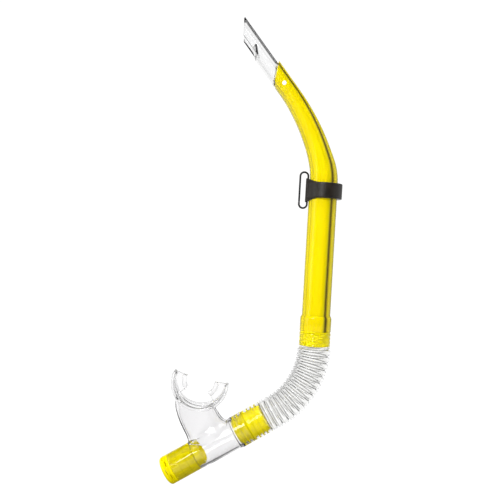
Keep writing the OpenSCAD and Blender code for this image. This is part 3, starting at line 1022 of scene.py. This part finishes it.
@dataclass
class Hose(Maker):
    """The clear corrugated hose, its two cuffs, and the yellow coupling in each.

    The couplings' ribs bite into the soft covers, which close round them with no air between.
    """

    top: float = -140.7
    cuff_top: float = -127.0
    bend_r: float = 71.0
    bend: float = 57.8
    run: float = 9.0
    outer: float = 14.75
    depth: float = 2.0
    wall: float = 1.3
    folds: int = 15
    upper_cuff_r: float = 14.03
    lower_cuff_r: float = 14.53
    cuff_wall: float = 2.0
    lower_cuff: float = 16.0
    bite: float = 0.5
    rib_depth: float = 1.3
    edge_round: float = 0.3

    @property
    def bellows(self) -> float:
        """Length of the corrugated stretch along the centre line."""
        return self.bend_r * math.radians(self.bend) + self.run

    @property
    def pitch(self) -> float:
        """Length of one fold."""
        return (self.bellows - 2) / self.folds

    def line(self, s: float = 0.0) -> Place:
        """The frame of the lower fittings, s further along their shared axis."""
        a = math.radians(self.bend)
        x = self.bend_r * (math.cos(a) - 1) - self.run * math.sin(a)
        z = self.top - self.bend_r * math.sin(a) - self.run * math.cos(a)
        return Place(x, z, 180 + self.bend).along(0, s)

    def centre(self, s: np.ndarray) -> tuple[np.ndarray, np.ndarray]:
        """Centre line and lean: straight down, an arc about a point on the mouth's side, and straight."""
        lean = np.clip(s / self.bend_r, 0, math.radians(self.bend))
        over = np.maximum(s - self.bend_r * math.radians(self.bend), 0)
        x = self.bend_r * (np.cos(lean) - 1) - over * np.sin(lean)
        z = self.top - self.bend_r * np.sin(lean) - over * np.cos(lean) - np.minimum(s, 0)
        return np.stack([x, z], -1), lean

    def outer_r(self, s: np.ndarray) -> np.ndarray:
        """Outer radius: a ribbed cuff, wide folds with narrow grooves, and a smooth cuff.

        A groove is the fourth power of a raised cosine, once per fold.
        """
        wave = (0.5 + 0.5 * np.cos(2 * math.pi * (s - 1) / self.pitch)) ** 4
        bellows = self.outer - self.depth * wave
        rib = 0.35 * (0.5 - 0.5 * np.cos(2 * math.pi * (s + 13.7) / 3.4)) ** 0.6
        upper = self.upper_cuff_r - 0.35 + rib
        to_bellows = np.clip((s + 0.2) / 1.6, 0, 1)
        to_cuff = np.clip((s - self.bellows + 1.4) / 1.4, 0, 1)
        radius = upper + (bellows - upper) * to_bellows
        return radius + (self.lower_cuff_r - radius) * to_cuff

    def inner_r(self, s: np.ndarray) -> np.ndarray:
        """Inner radius: each cuff's bore, and the wall's thickness in from the folds between them."""
        upper = np.where(s < 0.1, self.upper_cuff_r - self.cuff_wall, self.outer_r(s) - self.wall)
        return np.where(s > self.bellows - 0.1, self.lower_cuff_r - self.cuff_wall, upper)

    def hose(self) -> Shape:
        """The whole hose: outside down, round the lower cuff's edge, inside up, and round the upper edge."""
        start = self.top - self.cuff_top
        end = self.bellows + self.lower_cuff
        folds = np.linspace(0.1, self.bellows - 0.1, 330)
        s = np.concatenate([np.linspace(start, -0.1, 40), folds, np.linspace(self.bellows, end, 30)])
        s_in = np.concatenate([np.linspace(start, -0.1, 8), folds, np.linspace(self.bellows, end, 8)])[::-1]
        outside = self.outer_r(s)
        inside = self.inner_r(s_in)
        round_in = self.edge_round
        at = np.concatenate([s[:1] + round_in, s[1:-1], s[-1:] - round_in, s[-1:], s_in, s[:1]])
        radius = np.concatenate([
            outside, outside[-1:] - round_in, inside[:1] + 0.2, inside[1:-1], inside[-1:] + 0.2,
            outside[:1] - round_in,
        ])
        turn = circle(80)
        centre, lean = self.centre(at)
        across = radius[:, None] * np.cos(turn)
        x = centre[:, 0, None] + across * np.cos(lean)[:, None]
        z = centre[:, 1, None] - across * np.sin(lean)[:, None]
        y = radius[:, None] * np.sin(turn)
        return grid(np.stack([x, y, z], -1), True)

    def mark_folds(self, piece: Object) -> None:
        """Writes on each point how far it is from the nearest groove, in folds, by the nearest station."""
        s = np.linspace(self.top - self.cuff_top, self.bellows + self.lower_cuff, 700)
        at = s[nearest(points_of(piece), self.centre(s)[0])]
        phase = (at - 1) / self.pitch
        away = np.abs(phase - np.round(phase))
        write_mark(piece, FOLD, np.where((at < -0.2) | (at > self.bellows), 0.5, away))

    def upper_coupling(self) -> Shape:
        """The ribbed nipple under the barrel."""
        bore = self.upper_cuff_r - self.cuff_wall
        back = ribs(bore + self.bite, -127.0, -139.2, 4, self.bite - 0.03)
        return lathe(rounded([
            (9.75, -139.2), (9.75, -120.0), (11.97, -120.0), (11.97, -126.03), (13.6, -126.03),
            (13.6, -127.0), *back,
        ], 0.25))

    def lower_coupling(self) -> Shape:
        """The double-ended nipple, in the frame of the line."""
        bore = self.lower_cuff_r - self.cuff_wall
        hose_end = ribs(bore + self.bite, 16.0, 0.6, 4, self.rib_depth)
        sleeve_end = ribs(bore + self.bite + 0.05, 17.0, 29.1, 3, self.rib_depth)
        return lathe(rounded([
            (9.75, 0.6), (9.75, 29.1), *sleeve_end[::-1], (14.2, 16.92), (14.2, 16.0), *hose_end,
        ], 0.25))

    def build(self) -> list[Object]:
        """Makes the hose and both couplings.

        Returns:
            The three pieces.
        """
        upper = self.mesher.make("upper_coupling_nipple", self.upper_coupling())
        mark_rings(upper, Place())
        self.dresser.fit(upper, UPPER_FITTING, "barrel", "upper_coupling")
        hose = self.mesher.make("corrugated_hose", self.hose(), SOFT_SHARP)
        self.mark_folds(hose)
        self.dresser.dress(hose, CLEAR_HOSE)
        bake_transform(hose)
        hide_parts("flex_hose")
        lower = self.mesher.make("lower_coupling_nipple", self.line().shape(self.lower_coupling()))
        mark_rings(lower, self.line())
        self.dresser.fit(lower, LOWER_FITTING, "hose_end", "lower_coupling")
        return [upper, hose, lower]


# ---------------------------------------------------------------- mouthpiece


@dataclass
class Mouthpiece(Maker):
    """The clear silicone moulding: sleeve, neck, lip shield and two bite tabs."""

    hose: Hose
    sleeve_at: float = 17.0
    neck_at: float = 49.0
    neck_h: float = 41.3
    neck_a: float = 17.0
    neck_b: float = 11.0
    neck_wall: float = 2.6
    neck_reach: tuple[float, float] = (0.12, 0.86)
    turn_from: float = 0.22
    waist: float = 0.12
    waist_from: float = 0.2
    waist_len: float = 0.7
    foot_flare: float = 0.2
    flare_top: float = 0.3
    flare_fade: float = 0.09
    back_bulge: float = 0.24
    shield_turn: float = 43.4
    shield_drop: float = 21.0
    shield_r: float = 25.6
    shield_wall: float = 2.4
    shield_half: float = 15.0
    shield_end: float = 98.0
    tab_r: float = 12.5
    tab_half: float = 1.8
    tab_from: float = 45.6
    tab_to: float = 97.5
    ridge_half: float = 5.0

    def shield_place(self) -> Place:
        """The shield's frame: its origin is the centre of its curve, and Z points into the mouth."""
        top = self.hose.line(self.neck_at).along(self.neck_h, 0)
        return top.turned(90 + self.shield_turn).along(0, self.shield_drop)

    def sleeve(self) -> Shape:
        """The outside of the sleeve, with its thicker end over the coupling."""
        outline = np.array([
            [14.1, 0.0], [14.45, 0.15], [14.58, 0.5], [14.58, 12.1], [14.35, 13.0], [13.75, 14.6],
            [13.6, 15.4], [13.6, 44.4], [13.5, 45.8], [13.15, 47.8], [13.1, 48.8], [13.1, 76.3],
            [13.0, 76.6], [12.7, 76.7],
        ])
        return self.hose.line(self.sleeve_at).shape(spindle(outline, 128))

    def bore(self) -> Shape:
        """What is cut out of the sleeve."""
        outline = np.array([
            [12.58, -2.0], [12.58, 12.5], [12.3, 12.9], [11.6, 13.4], [11.6, 43.6], [11.2, 46.6],
            [11.2, 79.0],
        ])
        return self.hose.line(self.sleeve_at).shape(spindle(outline, 128))

    def neck(self, inset: float, end_r: float) -> Shape:
        """The neck's skin: ovals that rise from the sleeve and turn, and a cap along the shield's curve.

        Args:
            inset: How far inside the outer skin it lies.
            end_r: Radius of the shield's curve that it ends on.

        Returns:
            The closed skin.
        """
        turn = circle(96)
        cos = np.cos(turn)
        sin = np.sin(turn)
        foot = self.hose.line(self.neck_at)
        shield = self.shield_place()
        rows = []
        for t in np.linspace(*self.neck_reach, 26):
            gone = max(t - self.turn_from, 0) / (1 - self.turn_from)
            narrow = min(max((t - self.waist_from) / self.waist_len, 0), 1)
            waist = self.waist * math.sin(math.pi * narrow)
            flare = 1 + self.foot_flare * math.exp(-max(t - self.flare_top, 0) / self.flare_fade) - waist
            bulge = flare + waist + self.back_bulge * math.sin(math.pi * (t - 0.1) / 1.1)
            place = foot.along(t * self.neck_h, 0).turned(90 + self.shield_turn * gone**1.5)
            rows.append(place.put(np.stack([
                (self.neck_a * np.where(cos < 0, bulge, flare) - inset) * cos,
                (self.neck_b * flare - inset) * sin, 0 * cos,
            ], -1)))
        across = self.neck_a * np.where(cos < 0, 1 + 0.8 * self.back_bulge, 1.0)
        for share in (1.0, 0.97, 0.9, 0.7, 0.4, 0.1):
            x = share * (across - inset) * cos
            y = share * (self.neck_b - inset) * sin
            rows.append(shield.put(np.stack([x, y, -np.sqrt(end_r**2 - x**2)], -1)))
        return grid(np.stack(rows), False)

    def bent(self, outline: np.ndarray, angles: np.ndarray, fade: np.ndarray) -> Shape:
        """An outline of radius and height carried round the shield's curve.

        Args:
            outline: Closed outline of radius and height.
            angles: Angle of each station, in degrees from the curve's middle.
            fade: How much of the outline's height is kept at each station.

        Returns:
            The closed band, in the frame of the snorkel.
        """
        a = np.radians(angles)[:, None]
        middle = (outline[:, 0].max() + outline[:, 0].min()) / 2
        radius = middle + (outline[None, :, 0] - middle) * np.minimum(1, 0.35 + fade[:, None])
        x = radius * np.sin(a)
        z = -radius * np.cos(a)
        y = outline[None, :, 1] * fade[:, None]
        return self.shield_place().shape(grid(np.stack([x, y, z], -1), False))

    def shield(self) -> Shape:
        """The lip shield: a thin curved plate with a bead round its edge and rounded ends."""
        inner = self.shield_r - self.shield_wall
        outer = self.shield_r
        half = self.shield_half
        outline = rounded([
            (inner - 0.35, -half), (outer, -half), (outer, -half + 2.4), (outer - 0.25, -half + 3.2),
            (outer - 0.25, half - 3.2), (outer, half - 2.4), (outer, half), (inner - 0.35, half),
            (inner - 0.35, half - 2.0), (inner + 0.1, half - 3.0), (inner + 0.1, -half + 3.0),
            (inner - 0.35, -half + 2.0),
        ], 0.6)
        angles = np.linspace(-self.shield_end, self.shield_end, 121)
        into = np.clip((self.shield_end - np.abs(angles)) / 22.0, 0, 1)
        fade = 0.22 + 0.78 * np.sqrt(1 - (1 - into) ** 2)
        return self.bent(outline, angles, fade)

    def tab(self, side: int) -> Shape:
        """A bite tab: a plate from the shield inwards, with the ridge that the teeth hold.

        Args:
            side: 1 or -1, for the two ends of the shield.

        Returns:
            The closed tab.
        """
        low, high = self.tab_r, self.shield_r - 1.6
        thin, thick = self.tab_half, self.ridge_half
        outline = rounded([
            (low, -thick), (low + 3, -thick), (low + 3.4, -thin), (high, -thin), (high, thin),
            (low + 3.4, thin), (low + 3, thick), (low, thick),
        ], 0.8)
        angles = side * np.linspace(self.tab_from, self.tab_to, 41)
        into = np.clip(np.minimum(np.abs(angles) - self.tab_from, self.tab_to - np.abs(angles)) / 3.0, 0, 1)
        fade = 0.7 + 0.3 * np.sqrt(1 - (1 - into) ** 2)
        return self.bent(outline, angles, fade)

    def build(self) -> list[Object]:
        """Makes the mouthpiece as one moulding.

        Returns:
            The piece.
        """
        solid = self.sleeve().joined(self.neck(0.0, self.shield_r - 1.0)).joined(self.shield())
        solid = solid.joined(self.tab(1)).joined(self.tab(-1))
        piece = self.mesher.fuse("mouthpiece_moulding", solid, 0.5, 5)
        self.mesher.boolean(piece, self.bore(), sharp=SOFT_SHARP)
        hollow = self.neck(self.neck_wall, self.shield_r - self.shield_wall - 1.6)
        self.mesher.boolean(piece, hollow, sharp=SOFT_SHARP)
        self.dresser.fit(piece, SILICONE, "mouthpiece", "mouthpiece")
        return [piece]


# ---------------------------------------------------------------- purge valve


@dataclass
class PurgeValve(Maker):
    """The yellow housing with its spider, the soft flap and the slotted cap."""

    hose: Hose
    at: float = 93.7
    body_r: float = 11.17
    body_len: float = 29.1
    flange_r: float = 13.1
    flange_h: float = 1.7
    wall: float = 1.8
    seat_r: float = 8.4
    cap_h: float = 7.4
    rows: int = 2
    slots: int = 6

    def body(self) -> Object:
        """The housing: a stepped tube with a flange, and a hub on four spokes across its seat."""
        place = self.hose.line(self.at)
        snug = self.body_r + 0.07
        step = self.body_r - 0.8
        bore = self.body_r - self.wall
        tube = lathe(rounded([
            (bore, -self.body_len), (step, -self.body_len), (step, -self.body_len + 6),
            (snug, -self.body_len + 7), (snug, 0.0), (self.flange_r, 0.0), (self.flange_r, self.flange_h),
            (self.seat_r, self.flange_h),
            (self.seat_r, 0.7), (bore, 0.7),
        ], 0.3))
        piece = self.mesher.make("purge_housing", place.shape(tube))
        hub = lathe(rounded([(1.38, -0.7), (3.2, -0.7), (3.2, 1.3), (1.38, 1.3)], 0.3), 48)
        self.mesher.boolean(piece, place.shape(self.spokes()), "UNION")
        self.mesher.boolean(piece, place.shape(rod(1.9, 4.0, 48)))
        self.mesher.boolean(piece, place.shape(hub), "UNION")
        return piece

    def spokes(self) -> Shape:
        """Two crossed bars with rounded backs."""
        half = self.seat_r + 0.6
        outline = rounded([(-0.7, -0.7), (0.7, -0.7), (0.7, 1.25), (-0.7, 1.25)], 0.35)
        bars = []
        for angle in (45.0, 135.0):
            a = math.radians(angle)
            along = np.array([-half, half])[:, None]
            across = outline[None, :, 0]
            x = along * math.cos(a) - across * math.sin(a)
            y = along * math.sin(a) + across * math.cos(a)
            z = np.broadcast_to(outline[None, :, 1], x.shape)
            bars.append(grid(np.stack([x, y, z], -1), False))
        return bars[0].joined(bars[1])

    def flap(self) -> Shape:
        """The mushroom flap: a thin disc that swells to its middle, and a stem with a bulb."""
        outline = np.array([
            [0.3, -6.4], [0.9, -6.3], [1.15, -6.0], [1.9, -4.4], [2.05, -4.2], [1.9, -4.05], [1.3, -4.0],
            [1.3, -0.1],
            [1.5, 0.0], [9.4, 0.0], [9.75, 0.1], [9.8, 0.25], [9.7, 0.4], [8.8, 0.7], [3.0, 1.35],
            [1.6, 1.45], [0.3, 1.48],
        ])
        return self.hose.line(self.at + self.flange_h + 0.1).shape(spindle(outline))

    def cap(self) -> Object:
        """The cap: a shallow cup with fine grooves round its side and two rows of outlet slots."""
        place = self.hose.line(self.at + self.flange_h)
        groove = [(self.flange_r, 0.0)]
        for z in (1.0, 2.1, 3.2):
            groove.extend([(self.flange_r, z - 0.16), (self.flange_r - 0.22, z), (self.flange_r, z + 0.16)])
        side = self.flange_r
        outline = np.array([
            *groove, (side, 4.2), (side - 0.15, 5.0), (side - 0.5, 5.7), (side - 1.2, 6.4), (side - 2.2, 6.9),
            (side - 4.2, 7.3), (4.0, 7.4), (3.8, 7.15), (3.4, 7.05), (0.3, 7.05),
        ])
        inside = np.array([
            (0.3, self.cap_h - 1.8), (side - 5, self.cap_h - 1.8), (side - 2.6, 5.0), (side - 1.8, 4.0),
            (side - 1.8, 0.0),
        ])
        shape = spindle(np.vstack([inside, outline]))
        piece = self.mesher.make("purge_cap_cover", place.shape(shape))
        for row in range(self.rows):
            for i in range(self.slots):
                slot = block((side - 3.2, -2.6, 0.95 + 2 * row), (side + 2, 2.6, 1.75 + 2 * row))
                a = math.radians(i * 60 + row * 30 + 8)
                spin = np.array([[math.cos(a), math.sin(a), 0], [-math.sin(a), math.cos(a), 0], [0, 0, 1]])
                self.mesher.boolean(piece, place.shape(Shape(slot.points @ spin, slot.faces)))
        return piece

    def build(self) -> list[Object]:
        """Makes the housing, the flap and the cap.

        Returns:
            The three pieces.
        """
        body = self.body()
        mark_rings(body, self.hose.line(self.at))
        self.dresser.fit(body, PURGE_FITTING, "mouthpiece", "purge_body")
        flap = self.mesher.make("purge_flap_disc", self.flap())
        self.dresser.fit(flap, SILICONE, "flap", "purge_flap")
        cap = self.cap()
        mark_rings(cap, self.hose.line(self.at + self.flange_h))
        self.dresser.fit(cap, YELLOW_CAP, "mouthpiece", "purge_cap")
        return [body, flap, cap]


# ---------------------------------------------------------------- studio


@dataclass
class Studio:
    """A pale floor, soft light with darker gaps between the light panels, and the camera."""

    aim: Triple = (-0.0627, 0.0, -0.0566)
    distance: float = 0.7
    lens: float = 56.0
    roll: float = 3.3
    floor_drop: float = 0.04
    floor_half: float = 1.2
    floor_glow: float = 0.92
    floor_base: float = 0.12
    strip_edges: tuple[float, float] = (0.06, 0.11)
    gap_edge: float = 0.66
    panel_edge: float = 0.8
    back_width: float = 0.88
    gap_colour: Triple = (0.02, 0.02, 0.022)
    sky_strength: float = 1.05
    front_edges: tuple[float, float] = (-0.9, -0.45)
    front_share: float = 0.25
    front_through: float = 0.9
    lights: tuple[tuple[str, Triple, tuple[float, float], float], ...] = (
        ("strip_front", (-0.45, -1.05, 0.45), (0.5, 0.6), 13.0),
        ("panel_top", (0.1, -0.2, 1.3), (0.9, 0.9), 9.0),
        ("panel_left", (-1.3, -0.5, 0.1), (0.4, 1.2), 3.5),
    )

    def world(self) -> None:
        """A white sky to the camera, and bright panels with darker gaps to everything else.

        A panel stands across each of the three axes, both ways. A direction is in a panel if the largest of
        its three components is near 1, and in a gap if it is well under. The front panel is dimmed where it
        is mirrored, and bright through the clear pieces.
        """
        world = bpy.data.worlds.new("studio_sky")
        bpy.context.scene.world = world
        world.use_nodes = True
        world.node_tree.nodes.clear()
        nodes = Nodes(world.node_tree)
        way = nodes.add("ShaderNodeTexCoord").outputs["Generated"]
        part = nodes.add("ShaderNodeSeparateXYZ", {0: way}).outputs
        across, deep, up = (nodes.math("ABSOLUTE", part[axis]) for axis in ("X", "Y", "Z"))
        deep = nodes.math("MULTIPLY", deep, self.back_width)
        largest = nodes.math("MAXIMUM", nodes.math("MAXIMUM", across, deep), up)
        ramp = nodes.add("ShaderNodeValToRGB", {0: largest})
        gap, panel = ramp.color_ramp.elements
        gap.position = self.gap_edge
        gap.color = (*self.gap_colour, 1)
        panel.position = self.panel_edge
        panel.color = WHITE
        path = nodes.add("ShaderNodeLightPath").outputs
        through = self.front_through - self.front_share
        share = nodes.math("MULTIPLY_ADD", path["Is Transmission Ray"], through, self.front_share)
        front = nodes.span(part["Y"], self.front_edges, (share, 1.0), smooth=True)
        dimmed = nodes.add("ShaderNodeVectorMath")
        dimmed.operation = "SCALE"
        nodes.feed(dimmed, {0: ramp.outputs["Color"], "Scale": front})
        panels = nodes.add("ShaderNodeBackground", {"Color": dimmed.outputs[0], "Strength": 1.0})
        white = nodes.add("ShaderNodeBackground", {"Color": WHITE, "Strength": self.sky_strength})
        mix = nodes.add("ShaderNodeMixShader", {
            0: path["Is Camera Ray"], 1: panels.outputs[0], 2: white.outputs[0],
        })
        nodes.add("ShaderNodeOutputWorld", {"Surface": mix.outputs[0]})

    def floor(self, low: float) -> Object:
        """A wide pale floor just under the snorkel, lit from within but for a darker strip along it.

        The camera sees it all lit. The strip only shows in what the clear pieces bend and mirror.

        Args:
            low: Height of the snorkel's lowest point, in metres.

        Returns:
            The floor.
        """
        half = self.floor_half
        z = low - self.floor_drop
        mesh = bpy.data.meshes.new("floor")
        corner = [(-half, -half, z), (half, -half, z), (half, half, z), (-half, half, z)]
        mesh.from_pydata(corner, [], [(0, 1, 2, 3)])
        floor = show("floor", mesh)
        material = bpy.data.materials.new("pale_floor")
        material.use_nodes = True
        nodes = Nodes(material.node_tree)
        spot = nodes.add("ShaderNodeTexCoord").outputs["Object"]
        part = nodes.add("ShaderNodeSeparateXYZ", {0: spot}).outputs
        lit = nodes.span(nodes.math("ABSOLUTE", part["Y"]), self.strip_edges)
        path = nodes.add("ShaderNodeLightPath").outputs
        painted_glow = nodes.math("MAXIMUM", lit, path["Is Camera Ray"])
        nodes.feed(material.node_tree.nodes["Principled BSDF"], {
            "Base Color": (self.floor_base, self.floor_base, self.floor_base, 1),
            "Roughness": 0.9,
            "Emission Color": WHITE,
            "Emission Strength": nodes.math("MULTIPLY", painted_glow, self.floor_glow),
        })
        mesh.materials.append(material)
        floor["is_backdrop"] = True
        return floor

    def light(self) -> None:
        """Soft panels, each turned towards the snorkel."""
        for name, spot, size, power in self.lights:
            data = bpy.data.lights.new(name, "AREA")
            data.shape = "RECTANGLE"
            data.size, data.size_y = size
            data.energy = power
            lamp = show(name, data)
            back = np.array(spot) - np.array(self.aim)
            lamp.matrix_world = self.look(np.array(spot), back, 0.0)

    def look(self, spot: np.ndarray, back: np.ndarray, roll: float) -> Matrix:
        """A placement at spot whose -Z looks against back, with the upright rolled by roll degrees.

        Args:
            spot: Where it stands.
            back: From the aim towards the spot.
            roll: Turn about the line of sight.

        Returns:
            The placement.
        """
        away = back / np.linalg.norm(back)
        side = np.cross((0.0, 0.0, 1.0), away)
        side = side / np.linalg.norm(side)
        up = np.cross(away, side)
        a = math.radians(roll)
        columns = np.eye(4)
        columns[:3, 0] = math.cos(a) * side + math.sin(a) * up
        columns[:3, 1] = math.cos(a) * up - math.sin(a) * side
        columns[:3, 2] = away
        columns[:3, 3] = spot
        return Matrix(columns.tolist())

    def camera(self) -> None:
        """The camera, level and square to the snorkel's plane, with a slight roll."""
        data = bpy.data.cameras.new("camera")
        data.lens = self.lens
        camera = show("camera", data)
        back = np.array([0.0, -1.0, 0.0])
        camera.matrix_world = self.look(np.array(self.aim) + self.distance * back, back, self.roll)
        bpy.context.scene.camera = camera

    def build(self, low: float) -> None:
        """Sets the whole studio round the snorkel."""
        bpy.context.scene.view_settings.view_transform = "Standard"
        self.world()
        self.floor(low)
        self.light()
        self.camera()


def corners() -> list[list[float]]:
    """The lowest and highest corner of what shows, as plain lists."""
    return [[float(v) for v in corner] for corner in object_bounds()]


def main() -> None:
    """Builds every piece round the frame, then the studio."""
    logging.basicConfig(level=logging.INFO, format="%(name)s: %(message)s")
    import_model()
    cad = corners()
    mesher = Mesher()
    dresser = Dresser()
    barrel = Barrel(mesher, dresser)
    hose = Hose(mesher, dresser)
    makers = (
        barrel, SplashGuard(mesher, dresser, barrel), Keeper(mesher, dresser), hose,
        Mouthpiece(mesher, dresser, hose), PurgeValve(mesher, dresser, hose),
    )
    for maker in makers:
        for piece in maker.build():
            LOG.info("%s: %d faces", piece.name, len(piece.data.polygons))
    Studio().build(cad[0][2])


if __name__ == "__main__":
    main()
